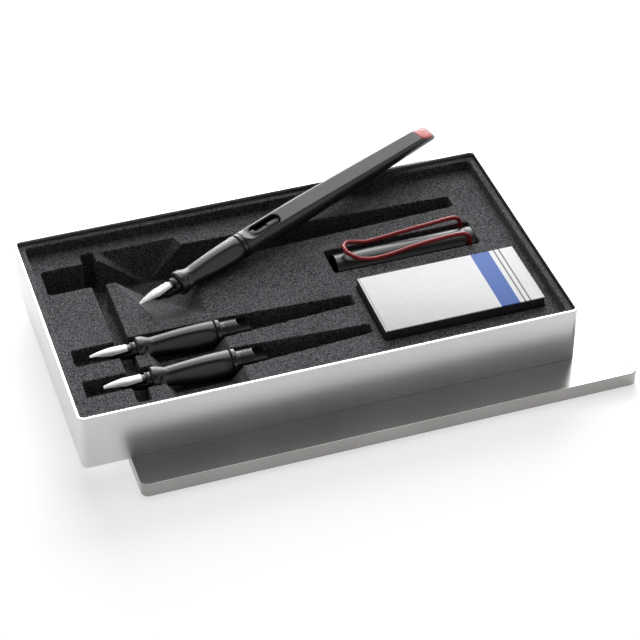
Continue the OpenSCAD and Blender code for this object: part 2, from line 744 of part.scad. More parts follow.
// liner that grips the pen, closed at its end
module cap_sleeve() color("#2c2c2e") at_cap() translate([cap_l - crown_l - sleeve_l, 0, 0]) {
  end_x = sleeve_l - sleeve_end_l;
  turned([[0, sleeve_r - sleeve_wall], [0, sleeve_r], [end_x, sleeve_r], [end_x, sleeve_r - sleeve_end_wall],
    [sleeve_l, sleeve_r - sleeve_end_wall], [sleeve_l, 0], [end_x - sleeve_web, 0],
    [end_x - sleeve_web, sleeve_r - sleeve_wall]]);
}

// route of half the clip wire: from the middle of the loop to the hole in the cap's side
clip_half = [
  [4.9, 0, 10.9], [5.3, 2.6, 10.6], [7.8, 5.6, 9.8], [11, 6.7, 8.5], [17.5, 6.65, 7.1],
  [26, 6.6, 7.6], [38, 6.15, 9.2], [50, 6.05, 10.3], [clip_hole_x - 5.2, 6.4, 10.8],
  [clip_hole_x - 1.7, 6.65, 9.7],
  [clip_hole_x - 0.2, 6.75, 7.2], [clip_hole_x, 6.8, 4.2], [clip_hole_x, 6.7, 1.6], [clip_hole_x, 6, 0.4],
];
clip_route = concat(
  [for (i = [len(clip_half) - 1:-1:1]) [clip_half[i][0], -clip_half[i][1], clip_half[i][2]]],
  clip_half
);
// a point of the smooth curve through a list of points
function at_route(route, i, t) =
  let (a = route[max(i - 1, 0)], b = route[i], c = route[i + 1], d = route[min(i + 2, len(route) - 1)])
  0.5 * (2 * b + (c - a) * t + (2 * a - 5 * b + 4 * c - d) * t * t + (3 * b - a - 3 * c + d) * t * t * t);
function unit(v) = v / norm(v);

// a round wire along a route that runs mirror-like on both sides of the x-z plane
module wire(route, r, steps, sides) {
  n = (len(route) - 1) * steps;
  path = [for (k = [0:n]) at_route(route, min(floor(k / steps), len(route) - 2),
    k / steps - min(floor(k / steps), len(route) - 2))];
  ring_dir = [for (k = [0:n]) unit(path[min(k + 1, n)] - path[max(k - 1, 0)])];
  side_of = [for (k = [0:n]) unit(cross(ring_dir[k], unit([-0.35, 0, 1] - 0.001 * ring_dir[k])))];
  points = [for (k = [0:n], j = [0:sides - 1])
    path[k] + r * (cos(360 * j / sides) * side_of[k] + sin(360 * j / sides) * cross(side_of[k], ring_dir[k]))];
  polyhedron(
    points = points,
    faces = concat(
      [[for (j = [0:sides - 1]) j]],
      [[for (j = [sides - 1:-1:0]) n * sides + j]],
      [for (k = [0:n - 1], j = [0:sides - 1])
        [k * sides + j, (k + 1) * sides + j, (k + 1) * sides + (j + 1) % sides, k * sides + (j + 1) % sides]]
    )
  );
}

module cap_clip() color("#a02a30") at_cap() wire(clip_route, wire_r, 3, 10);

// open board tray with its back wall a little lower, so that the top can turn
module carton_base() color("#3c3c3e") at_carton() difference() {
  cube([carton_l, carton_d, carton_h - board_t - rest_gap]);
  translate([board_t, board_t, board_t])
    cube([carton_l - 2 * board_t, carton_d - 2 * board_t, carton_h]);
}

module carton_top() color("white") at_carton() {
  translate([0, 0, carton_h - board_t]) cube([carton_l, carton_d, board_t]);
  // short tuck flap inside the front wall
  translate([board_t + 0.3, board_t + 0.3, carton_h - 1.6])
    cube([carton_l - 2 * board_t - 0.6, board_t, 1.6 - board_t + 0.01]);
}

module spare_cartridges() color("#2a4a9a") at_carton() {
  lane = (carton_d - 2 * board_t) / 5;
  for (i = [0:cartridge_n - 1])
    translate([(carton_l - cartridge_l) / 2, board_t + lane * (i + 0.5), board_t + cartridge_r + rest_gap])
      cartridge(0);
}

lid_shell();
box_shell();
tray_insert();
pen_grip();
pen_feed();
pen_nib();
pen_cartridge();
pen_trim_ring();
pen_barrel();
pen_end_plug();
section_a_grip();
section_a_feed();
section_a_nib();
section_a_trim_ring();
section_b_grip();
section_b_feed();
section_b_nib();
section_b_trim_ring();
cap_tube();
cap_sleeve();
cap_crown();
cap_clip();
carton_base();
carton_top();
spare_cartridges();
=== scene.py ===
import bpy
import bmesh
import math
from mathutils import Matrix, Vector


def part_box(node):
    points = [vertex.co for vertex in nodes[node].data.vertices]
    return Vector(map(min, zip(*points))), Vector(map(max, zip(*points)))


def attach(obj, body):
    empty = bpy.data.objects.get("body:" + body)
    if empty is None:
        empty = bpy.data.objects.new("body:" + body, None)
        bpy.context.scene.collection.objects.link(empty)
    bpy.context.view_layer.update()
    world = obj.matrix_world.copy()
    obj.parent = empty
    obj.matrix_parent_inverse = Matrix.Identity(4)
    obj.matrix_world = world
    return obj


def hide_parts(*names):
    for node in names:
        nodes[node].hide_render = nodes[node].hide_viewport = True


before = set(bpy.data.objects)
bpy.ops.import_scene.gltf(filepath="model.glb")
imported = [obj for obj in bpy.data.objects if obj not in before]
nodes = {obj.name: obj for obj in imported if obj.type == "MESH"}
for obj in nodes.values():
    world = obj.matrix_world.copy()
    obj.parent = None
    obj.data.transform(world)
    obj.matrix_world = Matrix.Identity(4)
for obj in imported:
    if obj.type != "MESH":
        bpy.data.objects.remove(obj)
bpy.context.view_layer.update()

# Lengths below are millimetres from the front left corner of the box, as its drawing gives them.
MM = 0.001
BOX = Matrix.Translation(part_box("box_shell")[0])
LID = Matrix.Translation(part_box("lid_shell")[0])
BOX_W, BOX_D, BOX_H, BOX_CORNER = 230, 129.5, 28.5, 3
LID_W, LID_D, LID_H, LID_CORNER = 232, 131.5, 7.1, 3.5
TIN = 0.5
SPARE_A_Y, SPARE_B_Y, SPARE_Z = 47.9, 26.3, 18.5


def turn(degrees, axis):
    return Matrix.Rotation(math.radians(degrees), 4, axis)


def place(x, y, z):
    return BOX @ Matrix.Translation(Vector((x, y, z)) * MM)


PEN = place(45.3, 70.1, 24.0935) @ turn(23.2, "Z") @ turn(-3.84639, "Y")
PEN_GRIP = PEN @ turn(-4, "X")
PEN_BARREL = PEN @ turn(12, "X")
SECTION_A = place(16, SPARE_A_Y, SPARE_Z)
SECTION_B = place(17, SPARE_B_Y, SPARE_Z)
CAP = place(140.2, 77, 16.3)
CARTON = place(143.9, 16.5, 15.5)


# Nodes of materials and of the world

def linear(hex_colour):
    """sRGB hex colour as linear light."""
    parts = [int(hex_colour[i:i + 2], 16) / 255 for i in (1, 3, 5)]
    return [c / 12.92 if c <= 0.04045 else ((c + 0.055) / 1.055) ** 2.4 for c in parts] + [1]


def add_node(owner, kind, settings=None, **inputs):
    """A node with its settings. An input is a value, a hex colour, a node or a node's output; its
    name is the socket's, or an underscore and its number."""
    made = owner.node_tree.nodes.new("ShaderNode" + kind)
    for name, value in (settings or {}).items():
        setattr(made, name, value)
    for name, value in inputs.items():
        socket = made.inputs[int(name[1:]) if name[0] == "_" else name.replace("_", " ")]
        if isinstance(value, bpy.types.Node):
            value = value.outputs[0]
        if isinstance(value, bpy.types.NodeSocket):
            owner.node_tree.links.new(value, socket)
        else:
            socket.default_value = linear(value) if isinstance(value, str) else value
    return made


def bare(owner, name):
    """New material or world without nodes."""
    made = owner.new(name)
    made.use_nodes = True
    made.node_tree.nodes.clear()
    return made


def bare_material(name):
    """New material, and its coordinates in metres."""
    made = bare(bpy.data.materials, name)
    return made, add_node(made, "TexCoord").outputs["Object"]


def spread(owner, value, start=0.3, end=0.7, low=0.0, high=1.0, kind="LINEAR"):
    """One range mapped to another. A noise keeps nearly all its values between 0.3 and 0.7."""
    return add_node(owner, "MapRange", {"interpolation_type": kind}, Value=value,
                    _1=start, _2=end, _3=low, _4=high)


def calculated(owner, operation, *values):
    return add_node(owner, "Math", {"operation": operation},
                    **{"_%d" % number: value for number, value in enumerate(values)})


def mixed(owner, share, first, second):
    """Colour between two colours."""
    made = add_node(owner, "Mix", {"data_type": "RGBA"}, Factor=share, _6=first, _7=second)
    return made.outputs[2]


def principled(made, **inputs):
    """Ends a material with its shader."""
    add_node(made, "OutputMaterial", Surface=add_node(made, "BsdfPrincipled", **inputs))
    return made


# Materials

def tinplate(name, dark, light, smooth, rough):
    # tinned sheet steel with a satin brushed finish: soft mirror images and no bright points
    # brushing lines are 0.05 mm apart; they are drawn 0.3 mm apart so that they show
    made, place_at = bare_material(name)
    across = add_node(made, "Mapping", Vector=place_at, Scale=(3300, 40, 40))
    lines = add_node(made, "TexNoise", Vector=across, Scale=1, Detail=3, Roughness=0.6)
    cloud = add_node(made, "TexNoise", Vector=place_at, Scale=22, Detail=3)
    bump = add_node(made, "Bump", Height=lines, Strength=0.05, Distance=0.00002)
    return principled(made, Base_Color=mixed(made, spread(made, cloud), dark, light), Metallic=0.9,
                      Roughness=spread(made, lines, low=smooth, high=rough), Normal=bump)


def flock():
    # nylon flock on a formed sheet: short upright fibres, matte, with a strong fine speckle
    # fibres are 0.05 mm thick; their tufts are drawn 0.3 mm wide so that they show
    made, place_at = bare_material("nylon_flock_dark")
    tufts = add_node(made, "TexVoronoi", Vector=place_at, Scale=3000)
    speck = add_node(made, "SeparateColor", Color=tufts.outputs["Color"])
    wear = add_node(made, "TexNoise", Vector=place_at, Scale=45, Detail=3)
    tone = calculated(made, "MULTIPLY_ADD", wear, 0.3, speck)
    share = spread(made, tone, 0.25, 1.15, kind="SMOOTHSTEP")
    bump = add_node(made, "Bump", Height=speck, Strength=0.6, Distance=0.0003)
    return principled(made, Base_Color=mixed(made, share, "#1f1f22", "#808084"), Roughness=0.95,
                      Normal=bump, Specular_IOR_Level=0.15, Sheen_Weight=0.1, Sheen_Roughness=0.5)


def moulded_plastic(name, dark, light, roughness):
    # moulded plastic with a fine spark-eroded grain: a dark body with a soft bright line
    # towards the light
    made, place_at = bare_material(name)
    fine = add_node(made, "TexNoise", Vector=place_at, Scale=1400, Detail=2)
    broad = add_node(made, "TexNoise", Vector=place_at, Scale=70, Detail=2)
    rough = spread(made, fine, low=roughness - 0.03, high=roughness + 0.04)
    bump = add_node(made, "Bump", Height=fine, Strength=0.06, Distance=0.00001)
    return principled(made, Base_Color=mixed(made, spread(made, broad), dark, light),
                      Roughness=rough, Normal=bump, IOR=1.53)


def nib_steel():
    # stainless steel buffed along the nib: pale, with fine lines that spread the light across it
    # buffing lines are 0.03 mm apart; they are drawn 0.25 mm apart so that they show
    made, place_at = bare_material("stainless_steel_buffed")
    along = add_node(made, "Mapping", Vector=place_at, Scale=(500, 4000, 4000))
    lines = add_node(made, "TexNoise", Vector=along, Scale=1, Detail=2)
    bump = add_node(made, "Bump", Height=lines, Strength=0.4, Distance=0.00004)
    return principled(made, Base_Color=mixed(made, spread(made, lines), "#a8a7a5", "#c8c7c5"),
                      Metallic=1, Roughness=spread(made, lines, low=0.42, high=0.55), Normal=bump)


def wire_lacquer():
    # red lacquer baked on spring wire: deep colour under a clear skin that catches the light
    made, place_at = bare_material("red_lacquer_on_wire")
    cloud = add_node(made, "TexNoise", Vector=place_at, Scale=150, Detail=2)
    return principled(made, Base_Color=mixed(made, spread(made, cloud), "#930c18", "#a81320"),
                      Roughness=spread(made, cloud, low=0.29, high=0.34),
                      Specular_IOR_Level=0.35, Coat_Weight=0.15, Coat_Roughness=0.08)


def board(name, dark, light, printed=()):
    # clay-coated paperboard: smooth and matte, with a faint cloud of fibre and ink flat on it
    # printed lines go across: ink, distance from the left end and width in millimetres
    made, place_at = bare_material(name)
    fibre = add_node(made, "TexNoise", Vector=place_at, Scale=500, Detail=4)
    colour = mixed(made, spread(made, fibre), dark, light)
    along = add_node(made, "SeparateXYZ", Vector=place_at)
    for ink, centre, width in printed:
        inked = calculated(made, "COMPARE", along, CARTON.translation.x + centre * MM,
                           width * MM / 2)
        colour = mixed(made, inked, colour, ink)
    bump = add_node(made, "Bump", Height=fibre, Strength=0.15, Distance=0.00005)
    return principled(made, Base_Color=colour, Roughness=0.65, Normal=bump, Specular_IOR_Level=0.3)


def floor_paper():
    # matte white studio paper: it glows a little to the camera and in reflections, so that it
    # comes out white
    made, place_at = bare_material("studio_paper_white")
    grain = add_node(made, "TexNoise", Vector=place_at, Scale=300, Detail=2)
    colour = mixed(made, spread(made, grain), "#dcdcdc", "#e0e0e0")
    shader = add_node(made, "BsdfPrincipled", Base_Color=colour, Roughness=0.9,
                      Specular_IOR_Level=0.1)
    path = add_node(made, "LightPath")
    mirrored = calculated(made, "MULTIPLY", path.outputs["Is Glossy Ray"], 0.58)
    strength = calculated(made, "MULTIPLY_ADD", path.outputs["Is Camera Ray"], 0.6, mirrored)
    glow = add_node(made, "Emission", Color=(1, 1, 1, 1), Strength=strength)
    add_node(made, "OutputMaterial", Surface=add_node(made, "AddShader", _0=shader, _1=glow))
    return made


TINPLATE = tinplate("tinplate_satin", "#d6d6d7", "#dfdfe0", 0.285, 0.33)
# the lid is the box's tin with a darker colour: painted shade for the shadowed floor and box front
# that the lid's sides and top mirror
TINPLATE_LID_PAINTED_SHADE = tinplate("tinplate_lid_painted_shade", "#9f9d9b", "#a9a7a5", 0.215, 0.265)
FLOCK = flock()
GRIP = moulded_plastic("abs_black_satin", "#161618", "#1b1b1d", 0.32)
BARREL = moulded_plastic("abs_charcoal_satin", "#17171a", "#1d1d20", 0.31)
FEED = moulded_plastic("abs_black_gloss", "#09090a", "#0e0e0f", 0.31)
RING = moulded_plastic("abs_ring_gloss", "#141416", "#19191b", 0.2)
CAP_PLASTIC = moulded_plastic("abs_cap_satin", "#101012", "#151517", 0.31)
CROWN = moulded_plastic("abs_crown_satin", "#101012", "#151517", 0.32)
PLUG = moulded_plastic("abs_red_moulded", "#b43f3f", "#c04b4a", 0.4)
INK = moulded_plastic("polypropylene_ink_blue", "#07090f", "#0c101f", 0.31)
NIB = nib_steel()
LACQUER = wire_lacquer()
BOARD_GREY = board("paperboard_grey", "#2c2c30", "#37373b")
BOARD_WHITE = board("paperboard_white", "#ebebed", "#f1f1f2")
BOARD_PRINTED = board("paperboard_printed", "#ebebed", "#f1f1f2", [
    ("#4468b4", 60, 9), ("#7d7d80", 67, 0.8), ("#7d7d80", 69.5, 0.8), ("#9a9a9e", 0.9, 0.25)])

FINISHES = {
    "lid_shell": TINPLATE_LID_PAINTED_SHADE, "box_shell": TINPLATE, "tray_insert": FLOCK,
    "pen_grip": GRIP, "pen_feed": FEED, "pen_nib": NIB, "pen_cartridge": INK,
    "pen_trim_ring": RING, "pen_barrel": BARREL, "pen_end_plug": PLUG,
    "section_a_grip": GRIP, "section_a_feed": FEED, "section_a_nib": NIB,
    "section_a_trim_ring": RING, "section_b_grip": GRIP, "section_b_feed": FEED,
    "section_b_nib": NIB, "section_b_trim_ring": RING,
    "cap_tube": CAP_PLASTIC, "cap_sleeve": CROWN, "cap_crown": CROWN, "cap_clip": LACQUER,
    "carton_base": BOARD_GREY, "carton_top": BOARD_WHITE, "spare_cartridges": INK,
}
for name, finish in FINISHES.items():
    nodes[name].data.materials.clear()
    nodes[name].data.materials.append(finish)


# Mesh tools

WELD = 0.0005  # points closer than this are one point


def to_mesh(name, bm):
    """Mesh of a bmesh, which is used up."""
    mesh = bpy.data.meshes.new(name)
    bm.to_mesh(mesh)
    bm.free()
    return mesh


def add_object(name, data):
    made = bpy.data.objects.new(name, data)
    bpy.context.scene.collection.objects.link(made)
    return made


def applied(helper):
    """Bmesh of an object as its modifiers or its wire's thickness make it."""
    depsgraph = bpy.context.evaluated_depsgraph_get()
    mesh = bpy.data.meshes.new_from_object(helper.evaluated_get(depsgraph))
    bm = bmesh.new()
    bm.from_mesh(mesh)
    bpy.data.meshes.remove(mesh)
    return bm


def join(bm, other):
    """Adds a second bmesh, which is used up, to the first."""
    mesh = to_mesh("joined", other)
    bm.from_mesh(mesh)
    bpy.data.meshes.remove(mesh)


def finish_piece(name, bm, frame_matrix, material, body, replaced, smooth=35):
    """Turns a bmesh in millimetres into a piece that rides on its body and replaces a node."""
    bmesh.ops.transform(bm, matrix=frame_matrix @ Matrix.Scale(MM, 4), verts=bm.verts)
    mesh = to_mesh(name, bm)
    mesh.materials.append(material)
    mesh.shade_smooth()
    if smooth:
        mesh.set_sharp_from_angle(angle=math.radians(smooth))
    piece = add_object(name, mesh)
    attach(piece, body)
    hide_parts(replaced)


def bevel(bm, edges, offset, segments=3):
    bmesh.ops.bevel(bm, geom=edges, offset=offset, segments=segments, profile=0.5,
                    affect="EDGES", material=-1)


def block(low, high, corner=0.0, edge=0.0):
    """Block between two corners with its upright edges, then all others, rounded."""
    bm = bmesh.new()
    bmesh.ops.create_cube(bm, size=1)
    bmesh.ops.scale(bm, vec=[b - a for a, b in zip(low, high)], verts=bm.verts)
    bmesh.ops.translate(bm, vec=[(a + b) / 2 for a, b in zip(low, high)], verts=bm.verts)
    if corner:
        half_h = 0.5 * (high[2] - low[2])
        bevel(bm, [e for e in bm.edges if abs(e.verts[0].co.z - e.verts[1].co.z) > half_h],
              corner, 5)
    if edge:
        bevel(bm, [e for e in bm.edges if e.calc_face_angle(0) > 0.6], edge)
    return bm


def prism(outline, low, high, foot=None):
    """Upright body over an outline; its foot may have another outline with as many points."""
    bm = bmesh.new()
    top = [bm.verts.new((x, y, high)) for x, y in outline]
    bottom = [bm.verts.new((x, y, low)) for x, y in (foot or outline)]
    rim = [bm.edges.new((top[i], top[i - 1])) for i in range(len(top))]
    base = [bm.edges.new((bottom[i], bottom[i - 1])) for i in range(len(top))]
    bmesh.ops.bridge_loops(bm, edges=rim + base)
    bmesh.ops.contextual_create(bm, geom=rim)
    bmesh.ops.contextual_create(bm, geom=base)
    bmesh.ops.recalc_face_normals(bm, faces=bm.faces)
    return bm


def eased(points, radius, steps=4):
    """Line whose inner corners become short curves; a point beside each curve keeps the straight
    parts flat."""
    hold, hold_share = 0.06, 0.05
    out = [tuple(points[0])]
    for before, point, after in zip(points, points[1:], points[2:]):
        corner = Vector(point)
        back, ahead = Vector(before) - corner, Vector(after) - corner
        reach = min(radius, 0.4 * back.length, 0.4 * ahead.length)
        start, end = corner + back.normalized() * reach, corner + ahead.normalized() * reach
        out.append(tuple(start + back.normalized() * min(hold, hold_share * back.length)))
        for k in range(steps + 1):
            t = k / steps
            out.append(tuple(start.lerp(corner, t).lerp(corner.lerp(end, t), t)))
        out.append(tuple(end + ahead.normalized() * min(hold, hold_share * ahead.length)))
    return out + [tuple(points[-1])]


def arc(centre, radius, start, end, steps=12):
    """Points of an arc from one angle to another, in degrees from the first axis."""
    return [(centre[0] + radius * math.cos(math.radians(a)),
             centre[1] + radius * math.sin(math.radians(a)))
            for a in (start + (end - start) * k / steps for k in range(steps + 1))]


def turned(points, steps=96):
    """Body turned about the x axis from an outline of distances and radii."""
    bm = bmesh.new()
    verts = [bm.verts.new((x, 0, radius)) for x, radius in points]
    edges = [bm.edges.new(pair) for pair in zip(verts, verts[1:])]
    bmesh.ops.spin(bm, geom=verts + edges, cent=(0, 0, 0), axis=(1, 0, 0), angle=math.tau,
                   steps=steps, use_merge=True)
    bmesh.ops.remove_doubles(bm, verts=bm.verts, dist=WELD)
    bmesh.ops.recalc_face_normals(bm, faces=bm.faces)
    return bm


def shaped(bm, cutters=(), modifiers=()):
    """Takes closed bodies out of a bmesh, then applies modifiers given as kind and settings."""
    body, *others = [add_object("helper", to_mesh("helper", part)) for part in (bm, *cutters)]
    for kind, settings in [("BOOLEAN", {"object": other}) for other in others] + list(modifiers):
        step = body.modifiers.new(kind.lower(), kind)
        for name, value in settings.items():
            setattr(step, name, value)
    made = applied(body)
    for helper in (body, *others):
        mesh = helper.data
        bpy.data.objects.remove(helper)
        bpy.data.meshes.remove(mesh)
    return made


def flatten(bm, direction, limit, soft):
    """Presses a side down to a flat. The limit is its height at a point, and soft rounds its
    edges."""
    for v in bm.verts:
        beyond = v.co.dot(direction) - limit(v.co)
        if beyond > soft:
            v.co -= direction * beyond
        elif beyond > -soft:
            v.co -= direction * (beyond + soft) ** 2 / (4 * soft)


def ramp_up(x, start, end):
    """Smooth rise from 0 to 1 between two distances."""
    t = max(0, min(1, (x - start) / (end - start)))
    return t * t * (3 - 2 * t)


def split(bm, at, normal, **settings):
    bmesh.ops.bisect_plane(bm, geom=bm.verts[:] + bm.edges[:] + bm.faces[:], plane_co=at,
                           plane_no=normal, **settings)


# Tin

def pan(profile, width, depth, corner):
    """Open shell. Its cross section is turned round a full circle, then the quarters move out to
    the corners."""
    steps = 32
    bm = bmesh.new()
    verts = [bm.verts.new((corner + out, 0, z)) for out, z in profile]
    edges = [bm.edges.new(pair) for pair in zip(verts, verts[1:])]
    half_step = Matrix.Rotation(math.pi / steps, 3, "Z")
    bmesh.ops.rotate(bm, verts=verts, cent=(0, 0, 0), matrix=half_step)
    bmesh.ops.spin(bm, geom=verts + edges, cent=(0, 0, 0), axis=(0, 0, 1), angle=math.tau,
                   steps=steps, use_merge=True)
    widen = 1 / math.cos(math.pi / steps)
    bmesh.ops.scale(bm, vec=(widen, widen, 1), verts=bm.verts)
    half = Vector((width / 2 - corner, depth / 2 - corner, 0))
    for v in bm.verts:
        v.co += Vector((math.copysign(half.x, v.co.x), math.copysign(half.y, v.co.y), 0))
    bmesh.ops.holes_fill(bm, edges=[e for e in bm.edges if e.is_boundary])
    for axis in (0, 1):
        for side in (-1, 1):
            normal = Vector((1 - axis, axis, 0))
            split(bm, normal * side * half[axis], normal)
    bmesh.ops.recalc_face_normals(bm, faces=bm.faces)
    bmesh.ops.translate(bm, vec=(width / 2, depth / 2, 0), verts=bm.verts)
    return bm


def make_box():
    """Box with a rolled rim that stands out a little on both sides of its wall."""
    rim_h, rim_out, rim_in = 1.4, 0.3, -1.1
    top, under = BOX_H, BOX_H - rim_h
    outside = eased([(-1, 0), (0, 0), (0, under), (rim_out, under)], 0.25)[:-1]
    rim = eased([(0, under), (rim_out, under), (rim_out, top), (rim_in, top), (rim_in, under),
                 (-TIN, under)], 0.42)
    inside = eased([(-TIN, under), (-TIN, TIN), (-1.4, TIN)], 0.8)[1:]
    finish_piece("box_pan", pan(outside + rim[1:] + inside, BOX_W, BOX_D, BOX_CORNER), BOX,
                 TINPLATE, "box", "box_shell")


def make_lid():
    """Lid with its open side down and a hem round it."""
    hem_r = 0.4
    outside = eased([(-1.2, LID_H), (0, LID_H), (0, 0.5)], 0.95, steps=5)
    hem = arc((-hem_r, hem_r), hem_r, 0, -180, 8)
    inside = eased([(-2 * hem_r, 1), (-TIN, 1.1), (-TIN, LID_H - TIN), (-1.2, LID_H - TIN)], 0.5)
    finish_piece("lid_pan", pan(outside + hem + inside, LID_W, LID_D, LID_CORNER), LID,
                 TINPLATE_LID_PAINTED_SHADE, "lid", "lid_shell")


# Tray: a block with its hollows cut out, then softened as flock softens every edge

FIELD, STRIP, ABOVE = 21, 26.3, 30
OVER_FIELD = 21.02
DEEP, TROUGH_FLOOR, SPARE_FLOOR, FINGER_FLOOR = 2.5, 13.3, 11.9, 14.3
TROUGH_X0, TROUGH_X1, TROUGH_Y1 = 28.5, 35, 119.6
NIB_POCKET_X, SLOT_BEND = 31.75, 76.5
PEN_SLOT_Y = 103.6
SOFT_CORNER = 1.2


def slot_outline(x0, bend, x1, y, half_a, half_b):
    """Slot that narrows from its bend to its far end."""
    return [(x0, y - half_a), (bend, y - half_a), (x1, y - half_b),
            (x1, y + half_b), (bend, y + half_a), (x0, y + half_a)]


def quad(x0, x1, y0, y1):
    return [(x0, y0), (x1, y0), (x1, y1), (x0, y1)]


def tray_hollows():
    slope = block((TROUGH_X0, 78, 4), (TROUGH_X1, 96, 20))
    for v in slope.verts:
        if v.co.z < 5 and v.co.y < 79:
            v.co.z = TROUGH_FLOOR
    return [
        # the field inside the border strip, and the trough across it with its deep back end
        block((4.25, 4.25, FIELD), (225.75, 125.25, ABOVE), 2),
        block((TROUGH_X0, 11, TROUGH_FLOOR), (TROUGH_X1, TROUGH_Y1, ABOVE), SOFT_CORNER),
        block((TROUGH_X0, 104, DEEP), (TROUGH_X1, TROUGH_Y1, ABOVE), SOFT_CORNER),
        slope,
        # the pen's slot, then each spare section's slot, with a pocket for the nib in front
        block((8.3, 94.9, DEEP), (NIB_POCKET_X, 112.3, ABOVE), SOFT_CORNER),
        prism(slot_outline(TROUGH_X0, SLOT_BEND, 208.1, PEN_SLOT_Y, 8.7, 4), DEEP, ABOVE),
        block((8.5, 42.3, TROUGH_FLOOR), (NIB_POCKET_X, 53.5, ABOVE), SOFT_CORNER),
        prism(slot_outline(NIB_POCKET_X, SLOT_BEND, 139.2, SPARE_A_Y, 6.6, 3.4), SPARE_FLOOR,
              ABOVE),
        block((8.4, 21, TROUGH_FLOOR), (NIB_POCKET_X, 31.6, ABOVE), SOFT_CORNER),
        prism(slot_outline(NIB_POCKET_X, 77.5, 140.5, SPARE_B_Y, 6.6, 3), SPARE_FLOOR, ABOVE),
        # finger hollows: between the spare sections, in front of them, behind the pen's slot and
        # in front of it
        prism(quad(41, SLOT_BEND, 31.3, 42.9), FINGER_FLOOR, OVER_FIELD,
              quad(46, 70.5, 31.3, 42.9)),
        prism(quad(43, 78.5, 7.5, 21.3), FINGER_FLOOR, OVER_FIELD, quad(48, 72.5, 11, 21.3)),
        prism([(35.8, 111.3), (SLOT_BEND, 111.3), (73.9, 118.5), (37.8, 118.5)], DEEP, OVER_FIELD,
              quad(57.75, 59.75, 111.3, 112.3)),
        prism([(51.95, 59), (73.5, 59), (76, 95.9), (39, 95.9)], 4.5, OVER_FIELD,
              quad(57.75, 59.75, 94.9, 95.9)),
        # the cap's pocket and the carton's pocket
        block((137.5, 68.85, 9), (209.9, 85.9, ABOVE), 1),
        block((143.3, 15.9, 15.4), (220.9, 56.5, ABOVE), 1),
    ]


def make_tray():
    bm = shaped(block((1.25, 1.25, 0.5), (228.75, 128.25, STRIP), 1.8), tray_hollows(), [
        ("REMESH", {"mode": "VOXEL", "voxel_size": 0.42}),
        ("SMOOTH", {"factor": 0.5, "iterations": 2}),
        ("DECIMATE", {"ratio": 0.17}),
    ])
    underside = [f for f in bm.faces if f.calc_center_median().z < 1.2 and f.normal.z < 0.5]
    bmesh.ops.delete(bm, geom=underside, context="FACES")
    finish_piece("tray_flocked", bm, BOX, FLOCK, "box", "tray_insert", 0)


# Nib sections: distances are from the nib's tip along the section

NIB_L, NECK_L, GRIP_L, RING_W = 17, 4, 36.6, 2.3
GRIP_X = NIB_L + NECK_L
RING_X = GRIP_X + GRIP_L
RING_END = RING_X + RING_W
THREAD_X = RING_END + 2.1
PITCH, TURNS = 1.05, 5
PRONG_X = THREAD_X + TURNS * PITCH
SECTION_L = PRONG_X + 6.1
BORE_X = 49.6
GRIP_R, LIP_R, WAIST_R = 6.2, 5.9, 4.6
SPIGOT_R, THREAD_R, BORE_R, FEED_R = 4.65, 4.85, 3.95, 2.87
FLAT_LEAN = math.radians(60)
SEAT_GAP = 0.02


def grip_radius(x):
    """Radius of the grip: down from its lip to the waist, then up to the ring."""
    u = x - GRIP_X
    if u < 8:
        fall = (1 - math.cos(math.pi * max(0, min(1, (u - 2) / 6)))) / 2
        return LIP_R - (LIP_R - WAIST_R) * fall
    return WAIST_R + (GRIP_R - WAIST_R) * math.sin(math.pi / 2 * min(1, (u - 8) / 24))


def nib_half_width(x, tip_w):
    """Half the width of the nib's sheet at a distance from its tip."""
    shape = [(0, tip_w / 2), (1.2, tip_w / 2 + 0.1), (5.7, 2.26), (9.5, 2.9), (NIB_L, 2.45)]
    for (x0, w0), (x1, w1) in zip(shape, shape[1:]):
        if x <= x1:
            return w0 + (w1 - w0) * (x - x0) / (x1 - x0)
    return shape[-1][1]


def make_nib(name, frame_matrix, tip_w, body, node):
    """Curved steel sheet with a slit from its tip."""
    along, across = 40, 14
    slit_side, slit_l, slit_h = 0.07, 12, 0.2
    root_r, tip_fall, curl_l = 3.6, 1.7, 10
    bm = bmesh.new()
    bmesh.ops.create_grid(bm, x_segments=along, y_segments=across, size=0.5)
    for v in bm.verts:
        x = NIB_L * (v.co.x + 0.5)
        column = round(v.co.y * across)
        wing = nib_half_width(x, tip_w) - slit_side
        y = 0 if column == 0 else math.copysign(
            slit_side + wing * (abs(column) - 1) / (across / 2 - 1), column)
        radius = root_r - tip_fall * max(0, (curl_l - x) / curl_l) ** 1.5
        z = math.sqrt(max(0.01, radius * radius - y * y))
        if column == 0 and x < slit_l:
            z -= slit_h
        v.co = (x, y, z)
    bmesh.ops.recalc_face_normals(bm, faces=bm.faces)
    if sum(f.normal.z for f in bm.faces) < 0:
        bmesh.ops.reverse_faces(bm, faces=bm.faces)
    bm = shaped(bm, modifiers=[("SOLIDIFY", {"thickness": 0.35, "offset": -1})])
    finish_piece(name, bm, frame_matrix, NIB, body, node, 40)


def grip_flat(point, side):
    """Height limit of a finger flat: a slanted plane with oval ends."""
    oval_l, oval_half, step_h = 4.5, 4.4, 2.4
    lateral = abs(point.y * math.cos(FLAT_LEAN) + side * point.z * math.sin(FLAT_LEAN))
    oval = oval_l * (1 - math.sqrt(max(0, 1 - min(1, lateral / oval_half) ** 2)))
    start, end = GRIP_X + 5.5 + oval, RING_X - 2.4 - oval
    plane = 4.2 + 1.4 * (point.x - 26.5) / 29.5
    return (plane + step_h * (1 - ramp_up(point.x, start - 4, start))
            + step_h * ramp_up(point.x, end, end + 1.8))


